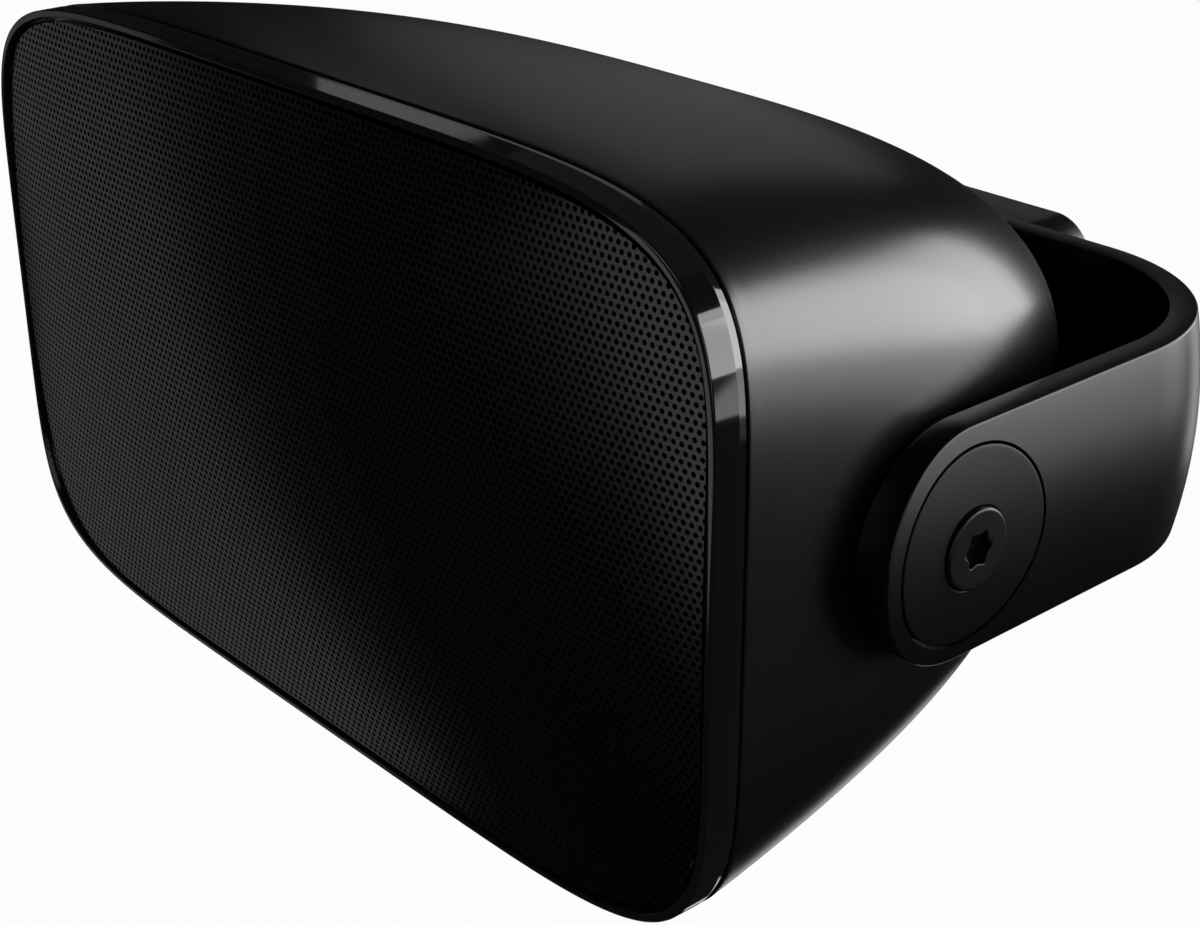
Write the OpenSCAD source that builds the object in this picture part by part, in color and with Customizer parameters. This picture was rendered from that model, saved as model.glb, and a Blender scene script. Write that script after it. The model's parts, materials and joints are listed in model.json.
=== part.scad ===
/* [Cabinet] */
// Width of the bezel and cabinet at their join
cab_w = 271; // [240:1:320]
// Height of the bezel and cabinet at their join
cab_h = 162.5; // [145:0.5:200]
// How square the front outline is, as a superellipse exponent
front_square = 6; // [4:0.1:8]
// How square the outline is at the rear end
rear_square = 2.5; // [2:0.1:4]
// Front rim to pivot axis
rim_to_pivot = 67; // [60:1:78]
// Pivot axis to the rearmost point of the cabinet
pivot_to_rear = 99; // [88:1:112]
// Wall of the cabinet moulding
wall = 4; // [3:0.25:5]
// Taper of each short end, over the depth of the cabinet
end_draft = 7; // [4:0.5:10]

/* [Bezel and grille] */
// Depth of the bezel from its rim to the cabinet
bezel_d = 9; // [7:0.5:12]
// Width of the bezel's flat front rim
rim_w = 1.7; // [1.2:0.1:4]
// Gap all round between the bezel and the grille
grille_gap = 1.2; // [0.8:0.1:2]
// Thickness of the grille sheet
grille_t = 1; // [0.8:0.1:1.5]
// Height of the grille's crown in front of the rim
grille_crown = 7; // [3:0.5:10]

/* [Strap bracket] */
// Height of the strap
strap_h = 53.3; // [44:0.5:64]
// Thickness of the strap along its edges
strap_t = 6.3; // [4:0.1:8]
// How far the strap's outer face is crowned at mid-height
strap_crown = 2.7; // [1:0.1:4]
// Gap between the cabinet's side and the end of the strap
side_gap = 0.35; // [0.3:0.05:1]
// Outer radius of the strap's two bends
bend_r = 47; // [35:1:60]
// Gap between the cabinet's rear and the strap's back run
rear_gap = 2.7; // [2:0.1:10]
// Half the width of the wall pad
pad_half_w = 79.5; // [65:0.5:90]
// Radius of the wall pad's four corners
pad_round = 11.5; // [4:0.5:20]
// Thickness of the wall pad behind the strap
pad_t = 12; // [8:0.5:20]
// Distance across between the four wall screw holes
wall_hole_x = 100; // [80:1:110]
// Distance up between the four wall screw holes
wall_hole_z = 28; // [20:1:30]
// Diameter of the wall screw holes
wall_hole_d = 5.5; // [4:0.1:6.5]

/* [Pivots] */
// Diameter of the clamp disc in each strap end
disc_d = 43.8; // [36:0.2:46]
// Groove round the clamp disc
disc_gap = 0.7; // [0.5:0.1:1.2]
// Diameter of the clamp disc's hub, which is fixed in the strap
hub_d = 24; // [20:0.5:28]
// Diameter of the pivot screw's head
screw_head_d = 18.2; // [14:0.1:20]
// Diameter of the pivot screw's shank
screw_d = 10; // [6:0.5:10]
// Running clearance between that shank and the hub it turns in
shank_clear = 0.05; // [0.02:0.01:0.1]
// Thickness of the friction washer
washer_t = 1.4; // [0.8:0.1:2]

/* [Drivers] */
// Cabinet above and below the woofer's frame
woofer_margin = 16.25; // [15:0.25:30]
// Cabinet beside the woofer's frame, at its end
woofer_end = 22.5; // [18:0.5:30]
// Cabinet beside the tweeter's faceplate, at its end
tweeter_end = 33.5; // [18:0.5:40]
// Gap between the woofer's frame and the tweeter's faceplate
driver_gap = 13; // [4:0.5:20]
// Diameter of the tweeter's faceplate
tweeter_d = 72; // [60:1:76]
// Diameter of the tweeter's dome
dome_d = 25; // [19:0.5:28]
// Thickness of the baffle
baffle_t = 5; // [4:0.5:8]

/* [Hidden] */

// Places along the depth, from the wall at 0 towards the room at minus
strap_to_pivot = pivot_to_rear + rear_gap + strap_t;
pivot_y = -(strap_to_pivot + pad_t);
rim_y = pivot_y - rim_to_pivot;
join_y = rim_y + bezel_d;
rear_y = pivot_y + pivot_to_rear;
cab_depth = rear_y - join_y;

// The cabinet's section: superellipses whose half sizes follow the depth share s
ring_n = 64;
half_w = cab_w / 2;
half_h = cab_h / 2;
side_power = 1.3;
side_round = 3.4;
end_power = 4.25;
end_share = 0.363;
tail_power = 40;
tail_round = 0.2;
function sgn(v) = v < 0 ? -1 : 1;
function oval(a, b, n) = [
    for (i = [0 : ring_n - 1])
        let (t = 360 * (i + 0.5) / ring_n)
            [a * sgn(cos(t)) * pow(abs(cos(t)), 2 / n), b * sgn(sin(t)) * pow(abs(sin(t)), 2 / n)]
];
function outline(inset = 0) = oval(half_w - inset, half_h - inset, front_square);
function share_at(y) = (y - join_y) / cab_depth;
function square_at(s) = front_square + (rear_square - front_square) * s;
function high_at(s) = half_h * pow(max(1 - pow(s, side_power), 0), 1 / side_round);
function wide_at(s) =
    (half_w * (1 - end_share * pow(s, end_power)) - end_draft * s) * pow(max(1 - pow(s, tail_power), 0), tail_round);
function ring_at(s, inset, y) = [
    for (p = oval(wide_at(s) - inset, high_at(s) - inset, square_at(s)))
        [p[0], y, p[1]]
];
function stations(count) = [for (j = [0 : count]) sin(89.2 * j / count)];

// Joins rings of points, given from front to rear, into a closed skin
module skin(rings, loop = false) {
    n = len(rings[0]);
    m = len(rings);
    walls = [
        for (j = [0 : m - (loop ? 1 : 2)])
            for (i = [0 : n - 1])
                let (a = j * n + i, b = j * n + (i + 1) % n, c = ((j + 1) % m) * n)
                    each [[a, b, c + i], [b, c + (i + 1) % n, c + i]]
    ];
    front_cap = [for (i = [n - 1 : -1 : 0]) i];
    rear_cap = [for (i = [0 : n - 1]) (m - 1) * n + i];
    polyhedron(
        points = [for (r = rings) each r],
        faces = loop ? walls : concat(walls, [front_cap, rear_cap]),
        convexity = 6
    );
}

module plate(y, t, inset) {
    translate([0, y + t, 0])
        rotate([90, 0, 0])
            linear_extrude(t) polygon(outline(inset));
}
module along_x(x, r, len) {
    translate([x, 0, 0]) rotate([0, 90, 0]) cylinder(r = r, h = len, $fn = 64);
}
module along_y(y, r, len) {
    translate([0, y, 0]) rotate([-90, 0, 0]) cylinder(r = r, h = len, $fn = 64);
}
// Turns a profile of radius and depth round an axis that runs front to rear
module turned(x, y) {
    translate([x, y, 0]) rotate([-90, 0, 0]) rotate_extrude($fn = 96) children();
}

// Strap bracket, one casting with its wall pad
strap_half = strap_h / 2;
arm_in = wide_at(share_at(pivot_y - strap_half)) + side_gap;
arm_x = arm_in + strap_t;
crown_r = (pow(strap_half, 2) + pow(strap_crown, 2)) / (2 * strap_crown);
strap_out_y = pivot_y + strap_to_pivot;
seat_t = 4;
screw_seat_d = 11;
edge_cut = 0.5;
module strap_section() {
    side_z = strap_half - edge_cut - strap_crown;
    intersection() {
        polygon([
            [-strap_t, -strap_half], [-edge_cut, -strap_half], [strap_crown, -side_z],
            [strap_crown, side_z], [-edge_cut, strap_half], [-strap_t, strap_half]
        ]);
        translate([strap_crown - crown_r, 0]) circle(r = crown_r, $fn = 128);
    }
}
module strap_arm() {
    intersection() {
        translate([arm_x, strap_out_y - bend_r, 0])
            rotate([90, 0, 0])
                linear_extrude(strap_out_y - bend_r - pivot_y + strap_half) strap_section();
        union() {
            translate([0, pivot_y, 0]) along_x(arm_in - 1, strap_half, strap_t + strap_crown + 2);
            translate([arm_in - 1, pivot_y, -strap_half])
                cube([strap_t + strap_crown + 2, strap_to_pivot, strap_h]);
        }
    }
    translate([arm_x - bend_r, strap_out_y - bend_r, 0])
        rotate_extrude(angle = 90, $fn = 96) translate([bend_r, 0]) strap_section();
}
module wall_pad() {
    rotate([90, 0, 0])
        linear_extrude(pad_t + 1) {
            square([2 * (pad_half_w - pad_round), strap_h], center = true);
            square([2 * pad_half_w, strap_h - 2 * pad_round], center = true);
            for (sx = [-1, 1])
                for (sz = [-1, 1])
                    translate([sx * (pad_half_w - pad_round), sz * (strap_half - pad_round)])
                        circle(r = pad_round, $fn = 64);
        }
}
module wall_holes() {
    for (sx = [-1, 1])
        for (sz = [-1, 1])
            translate([sx * wall_hole_x / 2, 0, sz * wall_hole_z / 2]) children();
}
module bracket_strap() {
    color([0.05, 0.05, 0.055])
        difference() {
            union() {
                strap_arm();
                mirror([1, 0, 0]) strap_arm();
                translate([-(arm_x - bend_r), strap_out_y, 0])
                    rotate([90, 0, 90])
                        linear_extrude(2 * (arm_x - bend_r)) strap_section();
                wall_pad();
            }
            for (side = [0, 1])
                mirror([side, 0, 0])
                    translate([0, pivot_y, 0]) {
                        along_x(arm_in - 1, hub_d / 2, strap_t + strap_crown + 2);
                        along_x(arm_in + seat_t, disc_d / 2 + disc_gap, strap_t + strap_crown);
                    }
            wall_holes() {
                along_y(-pad_t - strap_t - 1, wall_hole_d / 2, pad_t + strap_t + 2);
                along_y(-pad_t - strap_t - 1, screw_seat_d / 2, pad_t / 2 + strap_t + 1);
            }
        }
}

// Pivots: disc with its hub, screw, insert and friction washer, all for the right-hand end
boss_x = arm_in - washer_t;
boss_r = 24;
boss_len = 21;
spot_gap = 0.4;
disc_floor_x = arm_in + seat_t;
crown_x = arm_x + strap_crown;
head_proud = 0.8;
head_t = 4.5;
head_edge = 0.6;
head_x = crown_x + head_proud;
head_seat_x = head_x - head_t;
head_gap = 0.25;
bore_gap = 0.3;
thread_gap = 0.05;
insert_r = 8;
insert_len = 18;
socket_r = 3.3;
socket_lobe_r = 0.95;
socket_depth = 3.2;
module at_end(side) {
    mirror([side < 0 ? 1 : 0, 0, 0]) translate([0, pivot_y, 0]) children();
}
module clamp_disc(side) {
    color([0.07, 0.07, 0.075])
        at_end(side)
            difference() {
                union() {
                    intersection() {
                        along_x(disc_floor_x, disc_d / 2, crown_x - disc_floor_x);
                        translate([arm_x, disc_d, 0]) rotate([90, 0, 0]) linear_extrude(2 * disc_d) strap_section();
                    }
                    along_x(boss_x, hub_d / 2, disc_floor_x - boss_x + 0.5);
                }
                along_x(boss_x - 1, screw_d / 2 + shank_clear, head_x - boss_x + 2);
                along_x(head_seat_x, screw_head_d / 2 + head_gap, head_t + 2);
            }
}
module six_lobe() {
    circle(r = socket_r, $fn = 48);
    for (a = [0 : 60 : 300])
        rotate(a) translate([socket_r, 0]) circle(r = socket_lobe_r, $fn = 24);
}
module pivot_screw(side) {
    color([0.1, 0.1, 0.1])
        at_end(side)
            difference() {
                union() {
                    along_x(head_x - insert_len - head_t, screw_d / 2, insert_len + 0.5);
                    translate([head_seat_x, 0, 0])
                        rotate([0, 90, 0])
                            rotate_extrude($fn = 64)
                                polygon([
                                    [0, 0],
                                    [screw_head_d / 2, 0],
                                    [screw_head_d / 2, head_t - head_edge],
                                    [screw_head_d / 2 - head_edge, head_t],
                                    [0, head_t]
                                ]);
                }
                translate([head_x - socket_depth, 0, 0])
                    rotate([0, 90, 0]) linear_extrude(socket_depth + 1) six_lobe();
            }
}
module friction_washer(side) {
    color([0.12, 0.12, 0.12])
        at_end(side)
            difference() {
                along_x(boss_x, boss_r, washer_t);
                along_x(boss_x - 1, hub_d / 2 + bore_gap, washer_t + 2);
            }
}
module pivot_insert(side) {
    color([0.75, 0.6, 0.3])
        at_end(side)
            difference() {
                along_x(boss_x - insert_len, insert_r, insert_len);
                along_x(boss_x - insert_len - 1, screw_d / 2 + thread_gap, insert_len + 2);
            }
}

// Cabinet moulding: a hollow loft with a ledge for the baffle, bosses and posts
outer_steps = 16;
inner_steps = 11;
seal_t = 1.5;
ledge_w = 10;
ledge_t = 4.5;
ledge_y = join_y + baffle_t + seal_t;
post_r = 4;
board_z = 37.25 - half_h;
board_t = 1.6;
board_len = 86;
board_end = 31.5;
board_x = [half_w - board_end - board_len, half_w - board_end];
board_y = [join_y + 30, join_y + 80];
post_in = 5;
terminal_s = 0.8265;
terminal_tilt = 28.6;
cup_r = 20;
cup_depth = 22;
cup_wall = 2;
cup_flange_r = 24;
cup_flange_t = 2;
cup_sink = 1.8;
spot_in = 11;
screw_spots = [[half_w - spot_in - 0.5, half_h / 2], [0.55 * half_w, half_h - spot_in], [0, half_h - spot_in]];
thread_r = 1.75;
function skin_z(x, y, inset) =
    let (s = share_at(y), n = square_at(s))
        (high_at(s) - inset) * pow(1 - pow(abs(x) / (wide_at(s) - inset), n), 1 / n);
function inner_share(s) = s * (cab_depth - wall) / cab_depth;
outer_rings = [for (s = stations(outer_steps)) ring_at(s, 0, join_y + s * cab_depth)];
ledge_rings = [
    for (p = [[ledge_y + ledge_t + ledge_w, 0], [ledge_y + ledge_t, ledge_w], [ledge_y, ledge_w], [ledge_y, 0], [join_y, 0]])
        ring_at(share_at(p[0]), wall + p[1], p[0])
];
inner_rings = [
    for (j = [inner_steps : -1 : 2])
        let (s = sin(88 * j / inner_steps))
            ring_at(s, wall, join_y + inner_share(s) * cab_depth)
];
module board_spots() {
    for (x = [board_x[0] + post_in, board_x[1] - post_in])
        for (y = [board_y[0] + post_in, board_y[1] - post_in])
            translate([x, y, 0]) children();
}
module all_spots() {
    for (p = screw_spots)
        for (sx = p[0] == 0 ? [1] : [-1, 1])
            for (sz = [-1, 1])
                translate([sx * p[0], 0, sz * p[1]]) children();
}
module at_terminal() {
    translate([0, join_y + terminal_s * cab_depth, -high_at(terminal_s)])
        rotate([180 + terminal_tilt, 0, 0]) children();
}
module board_posts() {
    for (x = [board_x[0] + post_in, board_x[1] - post_in])
        for (y = [board_y[0] + post_in, board_y[1] - post_in])
            let (depth = skin_z(x, y, 0.6 * wall))
                translate([x, y, -depth]) cylinder(r = post_r, h = depth + board_z - board_t / 2, $fn = 32);
}
module cabinet_shell() {
    color([0.06, 0.06, 0.065])
        difference() {
            union() {
                skin(concat(inner_rings, ledge_rings, outer_rings));
                for (side = [-1, 1]) at_end(side) along_x(boss_x - boss_len, boss_r, boss_len);
                board_posts();
            }
            for (side = [-1, 1])
                at_end(side) {
                    along_x(boss_x - boss_len - 1, insert_r, boss_len + 2);
                    along_x(boss_x, boss_r + spot_gap, boss_len);
                }
            board_spots() translate([0, 0, board_z - 12]) cylinder(r = thread_r, h = 12, $fn = 24);
            all_spots() along_y(ledge_y - 1, thread_r, ledge_t + 6);
            at_terminal() {
                translate([0, 0, -cup_depth]) cylinder(r = cup_r + cup_wall, h = cup_depth + 5, $fn = 64);
                translate([0, 0, -cup_sink]) cylinder(r = cup_flange_r + 0.3, h = cup_depth, $fn = 64);
            }
        }
}

// Bezel ring: rim, side with a facet along its rear edge, and a ledge that the grille rests on
rim_edge = 0.6;
facet_w = 2.1;
facet_in = 0.35;
bezel_inset = 6.5;
bezel_ledge_y = 5;
function bezel_section() = [
    [rim_edge, 0], [rim_edge * 0.3, rim_edge * 0.3], [0, rim_edge], [0, bezel_d - facet_w],
    [facet_in, bezel_d], [bezel_inset, bezel_d],
    [bezel_inset, bezel_ledge_y], [rim_w, bezel_ledge_y], [rim_w, 0.2], [rim_w - 0.2, 0]
];
module bezel_frame() {
    color([0.02, 0.02, 0.02])
        skin([for (p = bezel_section()) [for (q = outline(p[0])) [q[0], rim_y + p[1], q[1]]]], loop = true);
}

// Grille: a crowned steel sheet with a return flange, and the cloth stretched behind it
grille_inset = rim_w + grille_gap;
grille_set = 0.5;
grille_fold_r = 1.2;
crown_steps = [0.05, 0.25, 0.45, 0.62, 0.77, 0.88, 0.96];
cloth_t = 0.6;
function crown_share(x, z) =
    let (u = x / (half_w - grille_inset), w = z / (half_h - grille_inset))
        0.51 * u * u + 0.49 * pow(u, 4) + w * w - 0.69 * u * u * w * w;
function crown_y(x, z) = rim_y + grille_set - grille_crown * (1 - crown_share(x, z));
function crown_ring(f, inset, back) = [
    for (p = outline(inset))
        [p[0] * f, crown_y(p[0] * f, p[1] * f) + back, p[1] * f]
];
function flat_ring(inset, y) = [for (p = outline(inset)) [p[0], y, p[1]]];
module crowned_sheet(inset, back, t, edge_y) {
    fronts = [for (f = crown_steps) crown_ring(f, inset, back)];
    rears = [for (k = [len(crown_steps) - 1 : -1 : 0]) crown_ring(crown_steps[k], inset + t, back + t)];
    edges = [
        crown_ring(1, inset + grille_fold_r * 0.3, back + grille_fold_r * 0.3),
        crown_ring(1, inset, back + grille_fold_r),
        flat_ring(inset, edge_y),
        flat_ring(inset + t, edge_y),
        crown_ring(1, inset + t, back + grille_fold_r)
    ];
    skin(concat(fronts, edges, rears));
}
module grille() {
    color([0.16, 0.16, 0.16])
        crowned_sheet(grille_inset, 0, grille_t, rim_y + bezel_ledge_y);
}
module grille_cloth() {
    color([0.02, 0.02, 0.02])
        crowned_sheet(grille_inset + grille_t + 0.3, grille_t + 0.3, cloth_t, rim_y + bezel_ledge_y - 0.3);
}

// Baffle, its seal and its screws
baffle_gap = 1;
woofer_d = min(cab_h - 2 * woofer_margin, cab_w - woofer_end - tweeter_end - driver_gap - tweeter_d);
woofer_x = -half_w + woofer_end + woofer_d / 2;
tweeter_x = woofer_x + woofer_d / 2 + driver_gap + tweeter_d / 2;
woofer_cut_r = woofer_d / 2 - 7;
tweeter_cut_r = tweeter_d / 2 - 7;
woofer_screw_r = woofer_d / 2 - 4;
tweeter_screw_r = tweeter_d / 2 - 4.5;
drive_screw_r = 1.6;
screw_head_r = 3.4;
screw_head_t = 2;
module round_spots(x, r, count, first) {
    for (k = [0 : count - 1])
        let (a = first + 360 * k / count)
            translate([x + r * cos(a), 0, r * sin(a)]) children();
}
module woofer_spots() {
    round_spots(woofer_x, woofer_screw_r, 6, 0) children();
}
module tweeter_spots() {
    round_spots(tweeter_x, tweeter_screw_r, 4, 45) children();
}
module front_baffle() {
    color([0.05, 0.05, 0.05])
        difference() {
            plate(join_y, baffle_t, wall + baffle_gap);
            translate([woofer_x, 0, 0]) along_y(join_y - 1, woofer_cut_r, baffle_t + 2);
            translate([tweeter_x, 0, 0]) along_y(join_y - 1, tweeter_cut_r, baffle_t + 2);
            all_spots() along_y(join_y - 1, thread_r + 0.15, baffle_t + 2);
            woofer_spots() along_y(join_y - 1, drive_screw_r, baffle_t + 2);
            tweeter_spots() along_y(join_y - 1, drive_screw_r, baffle_t + 2);
        }
}
module baffle_gasket() {
    color([0.1, 0.1, 0.1])
        difference() {
            plate(join_y + baffle_t, seal_t, wall + baffle_gap);
            plate(join_y + baffle_t - 1, seal_t + 2, wall + ledge_w - 1);
            all_spots() along_y(join_y, thread_r + 0.15, baffle_t + seal_t + 1);
        }
}
module small_screw(y, r, len) {
    difference() {
        union() {
            along_y(y - screw_head_t, screw_head_r, screw_head_t);
            along_y(y - 0.5, r, len + 0.5);
        }
        translate([0, y - screw_head_t - 1, 0])
            rotate([-90, 0, 0]) cylinder(r = 1.5, h = 2, $fn = 6);
    }
}
module baffle_screws() {
    color([0.2, 0.2, 0.2])
        all_spots() small_screw(join_y, thread_r, baffle_t + seal_t + ledge_t);
}

// Woofer: depths are measured from the baffle's front face, front at minus
frame_t = 4;
frame_depth = 38;
frame_wall = 2.6;
frame_in_r = woofer_d / 2 - 10;
spider_r = frame_in_r - 9.5;
frame_foot_r = spider_r - 5.5;
top_plate_t = 4;
magnet_r = frame_foot_r + 2;
magnet_t = 16;
back_plate_t = 5;
pole_r = 12.4;
coil_r = 13.4;
coil_t = 0.6;
top_plate_hole_r = 14;
roll_w = 9;
cone_r = frame_in_r - roll_w;
cone_front = -2.5;
cone_rear = 17;
cone_t = 1;
cap_r = 17;
cap_rise = 5;
roll_t = 0.7;
spider_y = 28;
spider_t = 0.6;
spider_wave = 1.4;
window_n = 6;
window_w = 0.65 * frame_foot_r;
cone_mid_r = (coil_r + cone_r) / 2;
cone_mid_y = 6.2;
module woofer_basket() {
    color([0.15, 0.15, 0.16])
        difference() {
            turned(woofer_x, join_y)
                polygon([
                    [woofer_d / 2, -frame_t], [woofer_d / 2, 0], [frame_in_r + frame_wall, 0],
                    [spider_r + frame_wall + 2.9, spider_y - 4], [spider_r + frame_wall, spider_y + 3],
                    [frame_foot_r + frame_wall, frame_depth],
                    [top_plate_hole_r + 12, frame_depth], [top_plate_hole_r + 12, frame_depth - frame_wall],
                    [frame_foot_r, frame_depth - frame_wall], [spider_r, spider_y + 3],
                    [spider_r, spider_y - 3], [spider_r + 2.5, spider_y - 6], [frame_in_r, -1], [frame_in_r, -frame_t]
                ]);
            woofer_spots() along_y(join_y - frame_t - 1, drive_screw_r + 0.4, frame_t + 2);
            for (k = [0 : window_n - 1])
                translate([woofer_x, join_y + 5, 0])
                    rotate([0, 360 * (k + 0.5) / window_n, 0])
                        translate([frame_foot_r - 5, 0, -window_w / 2]) cube([30, spider_y - 12, window_w]);
        }
}
module woofer_gasket() {
    color([0.1, 0.1, 0.1])
        turned(woofer_x, join_y)
            translate([frame_in_r + 0.3, -frame_t - 1.2]) square([2, 1.2]);
}
module woofer_top_plate() {
    color([0.6, 0.6, 0.62])
        turned(woofer_x, join_y + frame_depth)
            translate([top_plate_hole_r, 0]) square([frame_foot_r - top_plate_hole_r, top_plate_t]);
}
module woofer_magnet() {
    color([0.18, 0.18, 0.19])
        turned(woofer_x, join_y + frame_depth + top_plate_t)
            translate([top_plate_hole_r + 6, 0]) square([magnet_r - top_plate_hole_r - 6, magnet_t]);
}
module woofer_back_plate() {
    color([0.6, 0.6, 0.62])
        turned(woofer_x, join_y + frame_depth)
            polygon([
                [0, 0], [pole_r, 0], [pole_r, top_plate_t + magnet_t], [frame_foot_r, top_plate_t + magnet_t],
                [frame_foot_r, top_plate_t + magnet_t + back_plate_t - 1],
                [frame_foot_r - 1, top_plate_t + magnet_t + back_plate_t], [0, top_plate_t + magnet_t + back_plate_t]
            ]);
}
module woofer_voice_coil() {
    color([0.72, 0.4, 0.2])
        turned(woofer_x, join_y)
            translate([coil_r - coil_t, cone_rear - 1]) square([coil_t, frame_depth + top_plate_t + 4 - cone_rear]);
}
module woofer_cone() {
    color([0.75, 0.72, 0.5])
        turned(woofer_x, join_y)
            polygon([
                [coil_r, cone_rear], [cone_mid_r, cone_mid_y], [cone_r, cone_front], [cone_r, cone_front + cone_t],
                [cone_mid_r, cone_mid_y + cone_t * 1.2], [coil_r, cone_rear + cone_t * 1.2]
            ]);
}
function cone_y_at(r) = cone_rear + (cone_mid_y - cone_rear) * (r - coil_r) / (cone_mid_r - coil_r);
cap_t = 0.6;
module dome_profile(r, rise, t) {
    big = (r * r + rise * rise) / (2 * rise);
    edge = asin(r / big);
    polygon(concat(
        [for (k = [0 : 12]) [big * sin(edge * k / 12), big - rise - big * cos(edge * k / 12)]],
        [for (k = [12 : -1 : 0]) [(big - t) * sin(edge * k / 12), big - rise - (big - t) * cos(edge * k / 12)]]
    ));
}
module woofer_dust_cap() {
    color([0.08, 0.08, 0.08])
        turned(woofer_x, join_y + cone_y_at(cap_r) - cap_t) dome_profile(cap_r, cap_rise, cap_t);
}
module half_roll(r_in, r_out, t) {
    mid = (r_in + r_out) / 2;
    big = (r_out - r_in) / 2;
    polygon(concat(
        [for (k = [0 : 16]) [mid - big * cos(180 * k / 16), -big * sin(180 * k / 16)]],
        [for (k = [16 : -1 : 0]) [mid - (big - t) * cos(180 * k / 16), -(big - t) * sin(180 * k / 16)]]
    ));
}
module woofer_surround() {
    color([0.05, 0.05, 0.05])
        turned(woofer_x, join_y + cone_front + cone_t) half_roll(cone_r, frame_in_r, roll_t);
}
module woofer_spider() {
    waves = 8;
    span = spider_r - coil_r;
    color([0.75, 0.65, 0.35])
        turned(woofer_x, join_y + spider_y)
            polygon(concat(
                [for (k = [0 : 48]) [coil_r + span * k / 48, spider_wave * sin(180 * waves * k / 48)]],
                [for (k = [48 : -1 : 0]) [coil_r + span * k / 48, spider_wave * sin(180 * waves * k / 48) + spider_t]]
            ));
}
module woofer_screws() {
    color([0.2, 0.2, 0.2])
        woofer_spots() small_screw(join_y - frame_t, drive_screw_r, frame_t + baffle_t + 4);
}

// Tweeter, measured the same way
face_t = 3.5;
horn_r = 24;
tweeter_roll_w = 2.4;
tweeter_pole_r = 11.6;
tweeter_coil_t = 0.5;
tweeter_gap = 0.6;
tweeter_top_t = 3;
tweeter_magnet_t = 8;
tweeter_back_t = 3;
tweeter_magnet_r = 27;
dome_rise = 4;
dome_y = -1;
tweeter_in_r = dome_d / 2 + tweeter_roll_w;
module tweeter_faceplate() {
    color([0.04, 0.04, 0.04])
        difference() {
            turned(tweeter_x, join_y)
                polygon([
                    [tweeter_d / 2, -face_t + 0.5], [tweeter_d / 2, 0], [tweeter_cut_r - 0.5, 0],
                    [tweeter_cut_r - 0.5, 2.5], [tweeter_in_r, 2.5], [tweeter_in_r, -1], [horn_r, -face_t],
                    [tweeter_d / 2 - 0.5, -face_t]
                ]);
            tweeter_spots() along_y(join_y - face_t - 1, drive_screw_r + 0.4, face_t + 2);
        }
}
module tweeter_surround() {
    color([0.05, 0.05, 0.05])
        turned(tweeter_x, join_y + dome_y) half_roll(dome_d / 2, tweeter_in_r, 0.4);
}
module tweeter_dome() {
    color([0.7, 0.7, 0.72])
        turned(tweeter_x, join_y + dome_y) dome_profile(dome_d / 2, dome_rise, 0.4);
}
module tweeter_voice_coil() {
    color([0.72, 0.4, 0.2])
        turned(tweeter_x, join_y + dome_y)
            translate([dome_d / 2 - tweeter_coil_t - 0.4, 0.3]) square([tweeter_coil_t, 6.2]);
}
module tweeter_top_plate() {
    color([0.6, 0.6, 0.62])
        turned(tweeter_x, join_y + 2.5)
            translate([dome_d / 2 + tweeter_gap, 0])
                square([tweeter_magnet_r - 1 - dome_d / 2 - tweeter_gap, tweeter_top_t]);
}
module tweeter_magnet() {
    color([0.18, 0.18, 0.19])
        turned(tweeter_x, join_y + 2.5 + tweeter_top_t)
            translate([dome_d / 2 + 3, 0]) square([tweeter_magnet_r - dome_d / 2 - 3, tweeter_magnet_t]);
}
module tweeter_back_plate() {
    pole_h = tweeter_top_t + tweeter_magnet_t;
    color([0.6, 0.6, 0.62])
        turned(tweeter_x, join_y + 2.5)
            polygon([
                [0, 0.5], [tweeter_pole_r - 0.5, 0.5], [tweeter_pole_r - 0.5, pole_h],
                [tweeter_magnet_r - 1, pole_h], [tweeter_magnet_r - 1, pole_h + tweeter_back_t],
                [0, pole_h + tweeter_back_t]
            ]);
}
module tweeter_screws() {
    color([0.2, 0.2, 0.2])
        tweeter_spots() small_screw(join_y - face_t, drive_screw_r, face_t + baffle_t + 4);
}

// Crossover on its posts
module crossover_board() {
    color([0.1, 0.35, 0.2])
        difference() {
            translate([board_x[0], board_y[0], board_z - board_t / 2])
                cube([board_x[1] - board_x[0], board_y[1] - board_y[0], board_t]);
            board_spots() translate([0, 0, board_z - 2]) cylinder(r = thread_r + 0.15, h = 4, $fn = 24);
        }
}
board_top = board_z + board_t / 2;
module crossover_inductor() {
    color([0.72, 0.4, 0.2])
        translate([board_x[0] + 24, (board_y[0] + board_y[1]) / 2, board_top])
            difference() {
                cylinder(r = 15, h = 16, $fn = 64);
                translate([0, 0, -1]) cylinder(r = 6, h = 18, $fn = 64);
            }
}
module crossover_capacitors() {
    color([0.2, 0.25, 0.5])
        for (k = [0, 1])
            translate([board_x[0] + 48, board_y[0] + 14 + 20 * k, board_top + 7])
                rotate([0, 90, 0]) cylinder(r = 7, h = 24, $fn = 64);
}
module crossover_resistor() {
    color([0.85, 0.83, 0.78])
        translate([board_x[1] - 11, board_y[0] + 12, board_top]) cube([7, 25, 7]);
}
module crossover_screws() {
    color([0.7, 0.7, 0.7])
        board_spots()
            translate([0, 0, board_top])
                union() {
                    cylinder(r = 3, h = 2, $fn = 32);
                    translate([0, 0, -10]) cylinder(r = thread_r, h = 10.5, $fn = 32);
                }
}

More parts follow.
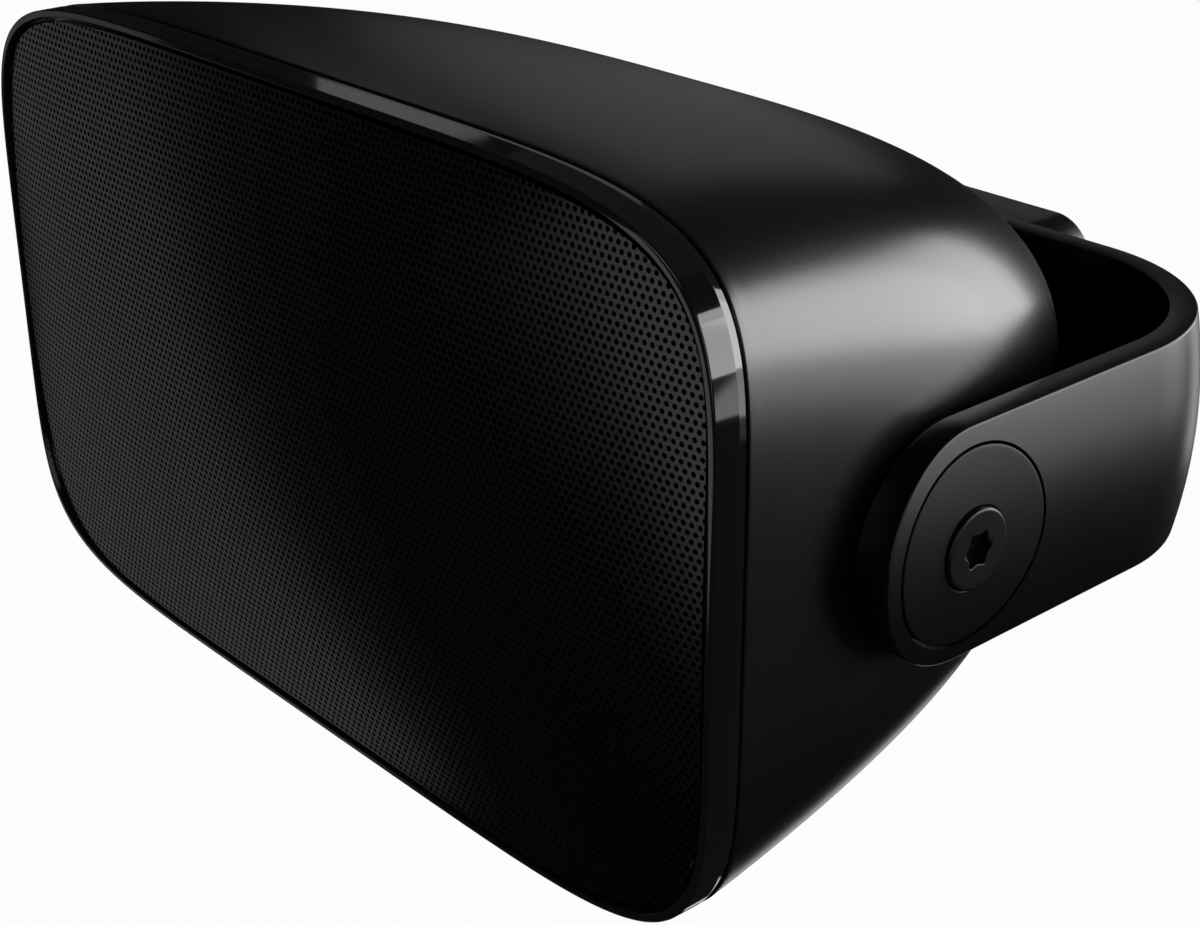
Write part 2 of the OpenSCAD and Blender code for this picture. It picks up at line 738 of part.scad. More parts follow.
// Terminal cup, its two posts and the rubber cover over its mouth
post_base_z = -cup_depth + cup_wall;
module terminal_cup() {
    color([0.06, 0.06, 0.06])
        at_terminal()
            difference() {
                union() {
                    translate([0, 0, -cup_depth]) cylinder(r = cup_r + cup_wall - 0.2, h = cup_depth - cup_sink, $fn = 64);
                    translate([0, 0, -cup_sink]) cylinder(r = cup_flange_r, h = cup_flange_t, $fn = 64);
                }
                translate([0, 0, post_base_z]) cylinder(r = cup_r, h = cup_depth + 5, $fn = 64);
            }
}
module terminal_posts() {
    color([0.8, 0.65, 0.3])
        at_terminal()
            for (x = [-9, 9])
                translate([x, 0, post_base_z]) {
                    cylinder(r = 5, h = 3, $fn = 6);
                    cylinder(r = 2.4, h = 10, $fn = 32);
                    translate([0, 0, 6]) cylinder(r = 5, h = 8, $fn = 48);
                }
}
module terminal_cover() {
    color([0.1, 0.1, 0.1])
        at_terminal()
            difference() {
                translate([0, 0, -cup_sink - 1]) cylinder(r = cup_r - 0.05, h = 1 + cup_flange_t - 0.4, $fn = 64);
                translate([0, cup_r - 5, -cup_sink - 2]) cylinder(r = 3, h = 5, $fn = 32);
            }
}

bracket_strap();
clamp_disc(-1);  // clamp_disc_left
clamp_disc(1);  // clamp_disc_right
pivot_screw(-1);  // pivot_screw_left
pivot_screw(1);  // pivot_screw_right
friction_washer(-1);  // friction_washer_left
friction_washer(1);  // friction_washer_right
pivot_insert(-1);  // pivot_insert_left
pivot_insert(1);  // pivot_insert_right
cabinet_shell();
bezel_frame();
grille();
grille_cloth();
front_baffle();
baffle_gasket();
baffle_screws();
woofer_basket();
woofer_gasket();
woofer_top_plate();
woofer_magnet();
woofer_back_plate();
woofer_voice_coil();
woofer_cone();
woofer_dust_cap();
woofer_surround();
woofer_spider();
woofer_screws();
tweeter_faceplate();
tweeter_surround();
tweeter_dome();
tweeter_voice_coil();
tweeter_top_plate();
tweeter_magnet();
tweeter_back_plate();
tweeter_screws();
crossover_board();
crossover_inductor();
crossover_capacitors();
crossover_resistor();
crossover_screws();
terminal_cup();
terminal_posts();
terminal_cover();
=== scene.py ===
"""Looks of the tilting loudspeaker: smooth and perforated pieces, materials, camera and studio.

Meshes are worked out in millimetres in the CAD frame (+Z up, the wall at Y = 0, the front
towards -Y) and turned into metres where they are made.
"""
import json
import math

import bmesh
import bpy
import numpy as np
from mathutils import Matrix, Vector


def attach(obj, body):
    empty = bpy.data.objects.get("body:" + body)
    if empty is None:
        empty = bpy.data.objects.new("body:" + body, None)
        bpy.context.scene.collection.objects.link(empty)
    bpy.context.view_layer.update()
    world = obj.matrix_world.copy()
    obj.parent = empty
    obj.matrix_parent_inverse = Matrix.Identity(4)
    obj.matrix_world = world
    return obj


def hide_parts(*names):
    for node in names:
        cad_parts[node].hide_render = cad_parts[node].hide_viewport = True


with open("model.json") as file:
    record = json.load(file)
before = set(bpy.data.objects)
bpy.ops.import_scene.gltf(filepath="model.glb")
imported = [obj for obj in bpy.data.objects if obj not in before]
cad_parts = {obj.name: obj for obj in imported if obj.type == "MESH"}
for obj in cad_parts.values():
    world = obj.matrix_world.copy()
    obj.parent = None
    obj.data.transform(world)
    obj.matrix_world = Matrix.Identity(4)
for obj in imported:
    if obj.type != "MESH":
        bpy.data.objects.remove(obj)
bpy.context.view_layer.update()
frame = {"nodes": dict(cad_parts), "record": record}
MM = 0.001

# Sizes of the CAD source, in millimetres
HALF_W, HALF_H = 271.0 / 2, 162.5 / 2
FRONT_N, REAR_N = 6.0, 2.5  # exponents of the cabinet's outline at its front and at its tail
WALL = 4.0
END_DRAFT = 7.0
PIVOT_Y, RIM_Y, JOIN_Y, REAR_Y = -120.0, -187.0, -178.0, -21.0
DEPTH = REAR_Y - JOIN_Y
RIM_W = 1.7
BOSS_X, BOSS_R, BOSS_BORE_R = 133.0, 24.0, 8.0
CUP_SHARE, CUP_TILT = 0.8265, math.radians(28.6)  # the terminal cup's share of the depth
CUP_R, CUP_RIM_R, CUP_RIM_T = 22.0, 24.3, 1.8
GRILLE_A, GRILLE_B = HALF_W - 2.9, HALF_H - 2.9
GRILLE_T = 1.0
GRILLE_RISE, GRILLE_BACK = 7.0, 0.5  # height of its crown, and its edge behind the rim
CROWN_2, CROWN_4, CROWN_CORNER = 0.51, 0.49, 0.69
PITCH, HOLE_R, HOLE_SIDES = 1.98, 0.60, 12
STRAP_HALF, STRAP_T, STRAP_CROWN, BEND_R = 26.65, 6.3, 2.7, 47.0
CROWN_R = (STRAP_HALF**2 + STRAP_CROWN**2) / (2 * STRAP_CROWN)
ARM_X = HALF_W + 5.2
ARM_IN = ARM_X - STRAP_T
STRAP_OUT_Y = -12.0
BEND_Y = STRAP_OUT_Y - BEND_R
ARM_LEN = BEND_Y - PIVOT_Y
ARC_LEN = BEND_R * math.pi / 2
BACK_LEN = 2 * (ARM_X - BEND_R)
PATH_LEN = 2 * (ARM_LEN + ARC_LEN) + BACK_LEN
PAD_T, PAD_HALF_W, PAD_ROUND = 12.0, 79.5, 11.5
WALL_HOLE_X, WALL_HOLE_Z, WALL_HOLE_R, WALL_HEAD_R = 50, 14, 2.75, 5.5
DISC_R, DISC_GAP, DISC_SEAT, DISC_BORE_R = 21.9, 0.7, 4.0, 12.0
HEAD_R, SCREW_R, SCREW_LEN = 9.1, 5.0, 22.5


# Helpers for meshes
def new_object(name, data):
    o = bpy.data.objects.new(name, data)
    bpy.context.scene.collection.objects.link(o)
    return o


def shade(me, sharp=None):
    """Smooth shading, with a crease where faces meet at more than sharp degrees."""
    me.polygons.foreach_set("use_smooth", [True] * len(me.polygons))
    if sharp is not None:
        me.set_sharp_from_angle(angle=math.radians(sharp))


def add_mesh(name, points, faces, mat, body, sharp=None):
    """A mesh object from points in millimetres, riding on a CAD body."""
    me = bpy.data.meshes.new(name)
    me.from_pydata([tuple(p) for p in points * MM], [], [tuple(f) for f in faces])
    me.validate()
    shade(me, sharp)
    o = new_object(name, me)
    me.materials.append(mat)
    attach(o, body)
    return o


def ring(x, y, z):
    """Points in rows; x, y or z may be one number for all."""
    return np.stack(np.broadcast_arrays(x, y, z), axis=1)


def loft(rings, caps=True, loop=False):
    """Points and quads through rings of equal length, with end caps or joined in a loop."""
    n, m = len(rings[0]), len(rings)
    faces = []
    for j in range(m if loop else m - 1):
        k = (j + 1) % m
        for i in range(n):
            i2 = (i + 1) % n
            faces.append((j * n + i, j * n + i2, k * n + i2, k * n + i))
    if caps and not loop:
        faces.append(tuple(range(n - 1, -1, -1)))
        faces.append(tuple((m - 1) * n + i for i in range(n)))
    return np.vstack(rings), faces


def flipped(faces):
    return [f[::-1] for f in faces]


def cut(target, *cutters):
    """Takes the cutters out of the target with exact booleans and drops them."""
    for c in cutters:
        mod = target.modifiers.new("cut", "BOOLEAN")
        mod.operation = "DIFFERENCE"
        mod.solver = "EXACT"
        mod.object = c
    deps = bpy.context.evaluated_depsgraph_get()
    new = bpy.data.meshes.new_from_object(target.evaluated_get(deps))
    target.modifiers.clear()
    old = target.data
    target.data = new
    bpy.data.meshes.remove(old)
    for c in cutters:
        bpy.data.objects.remove(c)


def cylinder(axis_at, direction, radius, start, end, count=128):
    """A bare cylinder used as a cutter, in millimetres, from start to end along its axis."""
    d = np.array(direction, float)
    d /= np.linalg.norm(d)
    u = np.cross(d, [0, 0, 1] if abs(d[2]) < 0.9 else [1, 0, 0])
    u /= np.linalg.norm(u)
    v = np.cross(d, u)
    t = np.linspace(0, 2 * np.pi, count, endpoint=False)
    circle = np.outer(np.cos(t), u) + np.outer(np.sin(t), v)
    p = np.array(axis_at, float)
    pts, faces = loft([p + d * start + circle * radius, p + d * end + circle * radius])
    me = bpy.data.meshes.new("cutter")
    me.from_pydata([tuple(q) for q in pts * MM], [], faces)
    return new_object("cutter", me)


def tidy(o):
    """Merges doubled points, drops flat faces and turns every face outward."""
    bm = bmesh.new()
    bm.from_mesh(o.data)
    bmesh.ops.remove_doubles(bm, verts=bm.verts, dist=1e-7)
    bmesh.ops.dissolve_degenerate(bm, edges=bm.edges, dist=1e-8)
    bmesh.ops.recalc_face_normals(bm, faces=bm.faces)
    bm.to_mesh(o.data)
    bm.free()


def oval(a, b, n, count):
    """Superellipse points, counter-clockwise, closer together where it bends."""
    most_turn, bend_weight = 0.2, 1.2
    t = np.linspace(0, 2 * np.pi, 6001)
    c, s = np.cos(t), np.sin(t)
    x = a * np.sign(c) * np.abs(c) ** (2 / n)
    z = b * np.sign(s) * np.abs(s) ** (2 / n)
    dx, dz = np.diff(x), np.diff(z)
    step = np.hypot(dx, dz)
    turn = np.abs(np.diff(np.unwrap(np.arctan2(dz, dx)), append=np.nan))
    turn = np.minimum(np.nan_to_num(turn, nan=0.0), most_turn)
    w = step / step.sum() + bend_weight * turn / max(turn.sum(), 1e-9)
    at = np.concatenate([[0], np.cumsum(w)])
    at /= at[-1]
    u = (np.arange(count) + 0.5) / count
    return np.interp(u, at, x), np.interp(u, at, z)


# Materials
def material(name, colour, roughness, bump, bump_scale, vary=0.0, vary_scale=60.0, metallic=0.0,
             ior=1.5):
    """A principled material with fine grain and, where vary isn't 0, uneven roughness."""
    m = bpy.data.materials.new(name)
    m.use_nodes = True
    nt = m.node_tree
    p = nt.nodes["Principled BSDF"]
    p.inputs["Base Color"].default_value = (*colour, 1)
    p.inputs["Roughness"].default_value = roughness
    p.inputs["Metallic"].default_value = metallic
    p.inputs["IOR"].default_value = ior
    coord = nt.nodes.new("ShaderNodeTexCoord")
    if vary > 0:
        noise = nt.nodes.new("ShaderNodeTexNoise")
        noise.inputs["Scale"].default_value = vary_scale
        noise.inputs["Detail"].default_value = 4
        nt.links.new(coord.outputs["Object"], noise.inputs["Vector"])
        ramp = nt.nodes.new("ShaderNodeMapRange")
        ramp.inputs["To Min"].default_value = max(roughness - vary, 0.02)
        ramp.inputs["To Max"].default_value = roughness + vary
        nt.links.new(noise.outputs["Fac"], ramp.inputs["Value"])
        nt.links.new(ramp.outputs["Result"], p.inputs["Roughness"])
    grain = nt.nodes.new("ShaderNodeTexNoise")
    grain.inputs["Scale"].default_value = bump_scale
    grain.inputs["Detail"].default_value = 3
    nt.links.new(coord.outputs["Object"], grain.inputs["Vector"])
    b = nt.nodes.new("ShaderNodeBump")
    b.inputs["Strength"].default_value = bump
    b.inputs["Distance"].default_value = 0.0001
    nt.links.new(grain.outputs["Fac"], b.inputs["Height"])
    nt.links.new(b.outputs["Normal"], p.inputs["Normal"])
    return m


PAINT = (0.0012, 0.0012, 0.0012)
cabinet_mat = material("cabinet_satin_black", PAINT, 0.27, 0.05, 1400, vary=0.02, ior=1.8)
bezel_mat = material("bezel_gloss_black", (0.0045, 0.0045, 0.0045), 0.06, 0.01, 60, vary=0.015,
                     vary_scale=25, ior=1.8)
grille_mat = material("grille_powder_black", PAINT, 0.17, 0.03, 2500, vary=0.02, ior=1.8)
bracket_mat = material("bracket_powder_black", PAINT, 0.29, 0.05, 1600, vary=0.02, ior=1.58)
disc_mat = material("disc_black", PAINT, 0.37, 0.05, 1600, vary=0.02, ior=1.4)
screw_mat = material("screw_black_oxide", (0.002, 0.002, 0.002), 0.32, 0.08, 900, vary=0.04)
rubber_mat = material("rubber", (0.012, 0.012, 0.012), 0.7, 0.4, 1200)
cloth_mat = material("acoustic_cloth", (0.003, 0.003, 0.003), 0.95, 0.6, 3000)


# Cabinet: half height and half width at a share s of the depth, as in the CAD source
def high_at(s):
    return HALF_H * np.maximum(1 - s**1.3, 0) ** (1 / 3.4)


def wide_at(s):
    return (HALF_W * (1 - 0.363 * s**4.25) - END_DRAFT * s) * np.maximum(1 - s**40, 0) ** 0.2


def cab_ring(s, inset, y):
    n = FRONT_N + (REAR_N - FRONT_N) * s
    x, z = oval(wide_at(s) - inset, high_at(s) - inset, n, 320)
    return ring(x, y, z)


def shares(count, degrees):
    """Shares of the depth, closer together towards the tail."""
    return [math.sin(t * math.radians(degrees)) for t in np.linspace(0, 1, count)]


def make_cabinet():
    inner = [(s, WALL, JOIN_Y + s * (DEPTH - WALL)) for s in reversed(shares(36, 88))]
    rolled = ((0.35, 0.05), (0.1, 0.15), (0.0, 0.4), (0.0, 0.5), (0.0, 0.8))
    edge = [(0.0, inset, JOIN_Y + y) for inset, y in rolled]
    outer = [(s, 0.0, JOIN_Y + s * DEPTH) for s in shares(100, 89.2)[1:]]
    pts, faces = loft([cab_ring(*station) for station in inner + edge + outer])
    o = add_mesh("cabinet", pts, flipped(faces), cabinet_mat, "cabinet")
    at = (0, JOIN_Y + CUP_SHARE * DEPTH, -float(high_at(CUP_SHARE)))
    out = (0, math.sin(CUP_TILT), -math.cos(CUP_TILT))
    cutters = [cylinder(at, out, CUP_R, -9, 6), cylinder(at, out, CUP_RIM_R, -CUP_RIM_T, 8)]
    for side in (-1, 1):
        cutters.append(cylinder((side * BOSS_X, PIVOT_Y, 0), (side, 0, 0), BOSS_R + 0.4, 0, 12))
    cut(o, *cutters)
    shade(o.data, 35)
    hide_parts("cabinet_shell")
    for side, name in ((-1, "cabinet_boss_left"), (1, "cabinet_boss_right")):
        make_boss(name, side)


def make_boss(name, side):
    """The turned end of a pivot boss, a closed ring round the pivot axis."""
    t = np.linspace(0, 2 * np.pi, 96, endpoint=False)
    rings = []
    for r, x in ((BOSS_BORE_R, BOSS_X - 6), (BOSS_R, BOSS_X - 6), (BOSS_R, BOSS_X - 0.3),
                 (BOSS_R - 0.3, BOSS_X), (BOSS_BORE_R, BOSS_X)):
        rings.append(ring(side * x, PIVOT_Y + r * np.cos(t), r * np.sin(t)))
    pts, faces = loft(rings, loop=True)
    if side > 0:
        faces = flipped(faces)
    b = add_mesh(name, pts, faces, cabinet_mat, "cabinet", sharp=30)


# Bezel
def make_bezel():
    """The front frame, from its profile of inset from the outline and depth behind the rim."""
    profile = (
        # the outer edge, the side and the step to the cabinet
        (0.35, 0.22), (0.22, 0.26), (0.10, 0.36), (0.03, 0.48), (0.0, 0.65), (0.0, 0.8),
        (0.0, 3.0), (0.0, 6.6), (0.0, 6.75), (0.03, 6.9), (0.05, 7.0), (0.30, 8.6),
        # the back and the ledge behind the grille
        (0.45, 8.75), (0.9, 8.8), (6.5, 8.8), (6.5, 5.0), (RIM_W + 0.02, 5.0),
        # the inner edge and the rim's slanted face
        (RIM_W, 4.6), (RIM_W, 0.35), (RIM_W - 0.08, 0.15), (RIM_W - 0.18, 0.04),
        (RIM_W - 0.3, 0.02), (RIM_W - 0.4, 0.03),
    )
    rings = []
    for inset, y in profile:
        x, z = oval(HALF_W - inset, HALF_H - inset, FRONT_N, 480)
        rings.append(ring(x, RIM_Y + y, z))
    pts, faces = loft(rings, loop=True)
    o = add_mesh("bezel", pts, flipped(faces), bezel_mat, "cabinet", sharp=28)
    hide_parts("bezel_frame")


# Grille
def crown_y(x, z):
    u, w = x / GRILLE_A, z / GRILLE_B
    share = CROWN_2 * u * u + CROWN_4 * u**4 + w * w - CROWN_CORNER * u * u * w * w
    return RIM_Y + GRILLE_BACK - GRILLE_RISE * (1 - share)


def crown_normal(x, z):
    u, w = x / GRILLE_A, z / GRILLE_B
    gx = 2 * CROWN_2 * u + 4 * CROWN_4 * u**3 - 2 * CROWN_CORNER * u * w * w
    gz = 2 * w - 2 * CROWN_CORNER * u * u * w
    n = np.stack([GRILLE_RISE * gx / GRILLE_A, -np.ones_like(gx), GRILLE_RISE * gz / GRILLE_B],
                 axis=-1)
    return n / np.linalg.norm(n, axis=-1, keepdims=True)


def crowned(plan):
    """Points of the plan put on the crowned sheet, and its normals there."""
    x, z = plan[:, 0], plan[:, 1]
    return ring(x, crown_y(x, z), z), crown_normal(x, z)


def outline_share(points, a, b):
    """Below 1 inside the grille's outline and above 1 outside it."""
    return (np.abs(points[..., 0]) / a) ** FRONT_N + (np.abs(points[..., 1]) / b) ** FRONT_N


def clip_convex(poly, half_planes):
    """The part of a polygon inside all half planes, each a point and an outward normal."""
    for px, pz, nx, nz in half_planes:
        out = []
        for i in range(len(poly)):
            a, b = poly[i], poly[(i + 1) % len(poly)]
            da = (a[0] - px) * nx + (a[1] - pz) * nz
            db = (b[0] - px) * nx + (b[1] - pz) * nz
            if da <= 0:
                out.append(a)
            if (da < 0 < db) or (db < 0 < da):
                k = da / (da - db)
                out.append((a[0] + (b[0] - a[0]) * k, a[1] + (b[1] - a[1]) * k))
        poly = out
        if len(poly) < 3:
            return []
    return poly


def hole_centres():
    """Centres of the staggered holes inside the grille's outline and just past it."""
    row_pitch = PITCH * math.sqrt(3) / 2
    past_edge = 1.2
    rows = int(GRILLE_B / row_pitch) + 2
    cols = int(GRILLE_A / PITCH) + 2
    centres = []
    for r in range(-rows, rows + 1):
        off = PITCH / 2 if r % 2 else 0.0
        for c in range(-cols, cols + 1):
            centres.append((c * PITCH + off, r * row_pitch))
    centres = np.array(centres)
    return centres[outline_share(centres, GRILLE_A + past_edge, GRILLE_B + past_edge) < 1]


def around(count, step, radius):
    """Plan points round a cell's middle, the first at 30 degrees and the rest a step apart."""
    t = np.radians(30 + step * np.arange(count))
    return np.stack([np.cos(t), np.sin(t)], 1) * radius


def cell_triangles():
    """Triangles between a cell's six corners and the twelve points of its hole."""
    tris = []
    for k in range(6):
        c0, c1 = k, (k + 1) % 6
        h0, h1, h2 = 6 + 2 * k, 6 + 2 * k + 1, 6 + (2 * k + 2) % HOLE_SIDES
        tris += [(c0, h1, h0), (c0, c1, h1), (c1, h2, h1)]
    return np.array(tris)


def clipped_cells(cells, centres, tris, first):
    """Plan points and triangles of the cells that the edge cuts, numbered from first."""
    near_edges = 14
    ox, oz = oval(GRILLE_A, GRILLE_B, FRONT_N, 720)
    ex, ez = np.roll(ox, -1) - ox, np.roll(oz, -1) - oz
    length = np.hypot(ex, ez)
    normals = np.stack([ez / length, -ex / length], 1)
    points, faces = [], []
    for cell, c in zip(cells, centres):
        near = np.argsort(np.hypot(ox - c[0], oz - c[1]))[:near_edges]
        planes = [(ox[i], oz[i], normals[i][0], normals[i][1]) for i in near]
        for t in tris:
            poly = clip_convex([tuple(cell[j]) for j in t], planes)
            at = first + len(points)
            faces += [(at, at + j, at + j + 1) for j in range(1, len(poly) - 1)]
            points += poly
    return np.array(points), np.array(faces)


def add_sheet(name, points, normals, triangles):
    """A part of the grille, with its true normals."""
    me = bpy.data.meshes.new(name)
    me.vertices.add(len(points))
    me.vertices.foreach_set("co", points.astype(np.float32).ravel())
    me.loops.add(len(triangles) * 3)
    me.loops.foreach_set("vertex_index", triangles.astype(np.int32).ravel())
    me.polygons.add(len(triangles))
    me.polygons.foreach_set("loop_start", np.arange(0, len(triangles) * 3, 3, dtype=np.int32))
    me.polygons.foreach_set("use_smooth", np.ones(len(triangles), bool))
    me.update(calc_edges=True)
    me.normals_split_custom_set_from_vertices(normals.tolist())
    o = new_object(me.name, me)
    me.materials.append(grille_mat)
    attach(o, "cabinet")
    return o


def make_grille():
    """The crowned sheet with its holes in four parts, and the turned edge behind it."""
    centres = hole_centres()
    hole = around(HOLE_SIDES, 30, HOLE_R)
    tris = cell_triangles()
    local = np.vstack([around(6, 60, PITCH / math.sqrt(3)), hole])
    cells = centres[:, None, :] + local[None]
    inside = outline_share(cells, GRILLE_A, GRILLE_B)
    full = np.all(inside <= 1, axis=1)
    none = np.all(inside > 1, axis=1)
    hole_t = np.radians(30 + 30 * np.arange(HOLE_SIDES))
    inward = np.stack([-np.cos(hole_t), np.zeros(HOLE_SIDES), -np.sin(hole_t)], 1)
    parts = 4
    edges_x = np.quantile(centres[:, 0], np.linspace(0, 1, parts + 1))
    edges_x[0] -= 10
    edges_x[-1] += 10
    for q in range(parts):
        here = (centres[:, 0] > edges_x[q]) & (centres[:, 0] <= edges_x[q + 1])
        whole, split = np.where(here & full)[0], np.where(here & ~full & ~none)[0]
        # faces of the whole cells
        front, front_n = crowned(cells[whole].reshape(-1, 2))
        base = np.arange(len(whole))[:, None, None] * len(local)
        front_f = (tris[None] + base).reshape(-1, 3)
        # walls of their holes
        top, top_n = crowned((centres[whole][:, None, :] + hole[None]).reshape(-1, 2))
        wall_n = np.tile(inward, (len(whole), 1))
        k = len(front) + np.arange(len(whole))[:, None] * HOLE_SIDES
        i0 = k + np.arange(HOLE_SIDES)[None]
        i1 = k + (np.arange(HOLE_SIDES)[None] + 1) % HOLE_SIDES
        j0, j1 = i0 + len(top), i1 + len(top)
        wall_f = np.stack([i0, j1, j0, i0, i1, j1], -1).reshape(-1, 3)
        # cells that the edge cuts
        plan, split_f = clipped_cells(cells[split], centres[split], tris, len(front) + 2 * len(top))
        rest, rest_n = crowned(plan)
        o = add_sheet(
            f"grille_sheet_{q + 1}",
            np.vstack([front, top, top - top_n * GRILLE_T, rest]) * MM,
            np.vstack([front_n, wall_n, wall_n, rest_n]),
            np.vstack([front_f, wall_f, split_f]),
        )
        if q == 0:
            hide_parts("grille")
    rings = []
    for inset, drop in ((0.08, 0.25), (0.08, None), (0.9, None), (0.9, 0.6)):
        x, z = oval(GRILLE_A - inset, GRILLE_B - inset, FRONT_N, 360)
        rings.append(ring(x, RIM_Y + 5.0 if drop is None else crown_y(x, z) + drop, z))
    pts, faces = loft(rings, loop=True)
    o = add_mesh("grille_flange", pts, flipped(faces), grille_mat, "cabinet", sharp=30)


# Strap bracket: a plate with a crowned outer face and rounded edges, bent along its path
def crown(z):
    return np.sqrt(CROWN_R**2 - z * z) - (CROWN_R - STRAP_CROWN)


def on_path(s, h):
    """Plan position at arc length s from the right-hand pivot and height h over the edge line."""
    flip = s > PATH_LEN / 2
    t = np.where(flip, PATH_LEN - s, s)
    turn = np.clip((t - ARM_LEN) / BEND_R, 0, math.pi / 2)
    back = np.maximum(t - ARM_LEN - ARC_LEN, 0)
    x = ARM_X - BEND_R + (BEND_R + h) * np.cos(turn) - back
    y = BEND_Y + (BEND_R + h) * np.sin(turn) + np.minimum(t - ARM_LEN, 0)
    return np.where(flip, -x, x), y


def outer_normals(pts):
    """Height over the edge line and outward normal of the crowned face at points of the strap."""
    x, y, z = pts.T
    side = np.where(x < 0, -1.0, 1.0)
    ax = np.abs(x) - (ARM_X - BEND_R)
    ay = y - BEND_Y
    px, py = np.where(ax > 0, ax, 0.0), np.where(ay > 0, ay, 0.0)
    length = np.hypot(px, py)
    length[length == 0] = 1
    slope = z / np.sqrt(CROWN_R**2 - np.minimum(z * z, CROWN_R**2 - 1))
    n = np.stack([side * px / length, py / length, slope], 1)
    return length - BEND_R, n / np.linalg.norm(n, axis=1, keepdims=True)


def strap_ring(inset, height):
    """The strap's outline moved in by inset, where height(z) is its height over the edge line."""
    r = STRAP_HALF - inset
    end = np.radians(np.linspace(90, 270, 73))
    arm = np.linspace(0, ARM_LEN, 18)[1:]
    bend = ARM_LEN + np.linspace(0, ARC_LEN, 40)[1:]
    back = ARM_LEN + ARC_LEN + np.linspace(0, BACK_LEN / 2, 12)[1:]
    half = np.concatenate([arm, bend, back])
    run = np.concatenate([half, (PATH_LEN - half[:-1])[::-1]])
    level = np.full(len(run), r)
    s = np.concatenate([r * np.cos(end), run, PATH_LEN - r * np.cos(end[::-1]), run[::-1]])
    z = np.concatenate([r * np.sin(end), -level, r * np.sin(end[::-1]), level])
    return ring(*on_path(s, height(z)), z)


def wall_hole_cutters(x):
    """Cutters for the two wall holes at x, with room for their screw heads."""
    cutters = []
    for z in (-WALL_HOLE_Z, WALL_HOLE_Z):
        at = (x, -PAD_T - STRAP_T, z)
        cutters.append(cylinder(at, (0, 1, 0), WALL_HOLE_R, -2, 24, 48))
        cutters.append(cylinder(at, (0, 1, 0), WALL_HEAD_R, -2, STRAP_T + PAD_T / 2, 64))
    return cutters


def rolled_edge(radius, first, last, steps=6):
    """Insets and drops of a quarter round between two angles in degrees."""
    return [(radius - radius * math.sin(a), radius - radius * math.cos(a))
            for a in np.radians(np.linspace(first, last, steps))]


def make_strap():
    rings = []
    for inset in (STRAP_HALF, 24, 21, 18, 15, 12, 9, 6.5, 4.5, 3, 2, 1.2, 0.8):
        rings.append(strap_ring(inset, crown))
    for inset, drop in rolled_edge(0.5, 0, 90):
        rings.append(strap_ring(inset, lambda z: crown(z) - drop))
    for inset, lift in ((0.0, 0.4), (0.12, 0.12), (0.4, 0.0), (1.0, 0.0), (6.0, 0.0),
                        (STRAP_HALF, 0.0)):
        rings.append(strap_ring(inset, lambda z: np.full_like(z, lift - STRAP_T)))
    pts, faces = loft(rings, caps=False)
    strap = add_mesh("bracket_strap_shell", pts, faces, bracket_mat, "bracket")
    tidy(strap)
    cutters = []
    for side in (-1, 1):
        at = (side * ARM_IN, PIVOT_Y, 0)
        cutters.append(cylinder(at, (side, 0, 0), DISC_BORE_R, -2, 14, 160))
        cutters.append(cylinder(at, (side, 0, 0), DISC_R + DISC_GAP, DISC_SEAT, 14, 192))
        cutters += wall_hole_cutters(side * WALL_HOLE_X)
    cut(strap, *cutters)
    shade(strap.data, 28)
    set_crown_normals(strap.data)
    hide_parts("bracket_strap")


def set_crown_normals(me):
    """True normals on the crowned face, where the booleans leave long thin faces."""
    co = np.zeros(len(me.vertices) * 3)
    me.vertices.foreach_get("co", co)
    co = co.reshape(-1, 3) / MM
    height, n = outer_normals(co)
    on_face = np.abs(height - crown(np.clip(co[:, 2], -STRAP_HALF, STRAP_HALF))) < 0.01
    loops = [(0.0, 0.0, 0.0)] * len(me.loops)
    for f in me.polygons:
        ids = list(f.vertices)
        if all(on_face[i] for i in ids) and np.dot(f.normal, n[ids].mean(axis=0)) > 0.99:
            for li, vi in zip(f.loop_indices, ids):
                loops[li] = tuple(n[vi])
    me.normals_split_custom_set(loops)


def make_pad():
    mid_x, mid_z = PAD_HALF_W - PAD_ROUND, STRAP_HALF - PAD_ROUND
    rings = []
    for inset, y in ((0, -PAD_T - 0.5), (0, -0.5), (0.04, -0.31), (0.15, -0.15), (0.31, -0.04),
                     (0.5, 0.0)):
        r = PAD_ROUND - inset
        pts = []
        for cx, cz, a0 in ((1, 1, 0), (-1, 1, 90), (-1, -1, 180), (1, -1, 270)):
            for a in np.radians(np.linspace(a0, a0 + 90, 25)):
                pts.append((cx * mid_x + r * math.cos(a), y, cz * mid_z + r * math.sin(a)))
        rings.append(np.array(pts))
    pts, faces = loft(rings)
    pad = add_mesh("bracket_pad", pts, faces, bracket_mat, "bracket")
    tidy(pad)
    cut(pad, *wall_hole_cutters(-WALL_HOLE_X), *wall_hole_cutters(WALL_HOLE_X))
    shade(pad.data, 28)


# Clamp discs and pivot screws, turned round the pivot axis
PLAIN, CROWNED, LOBED = range(3)


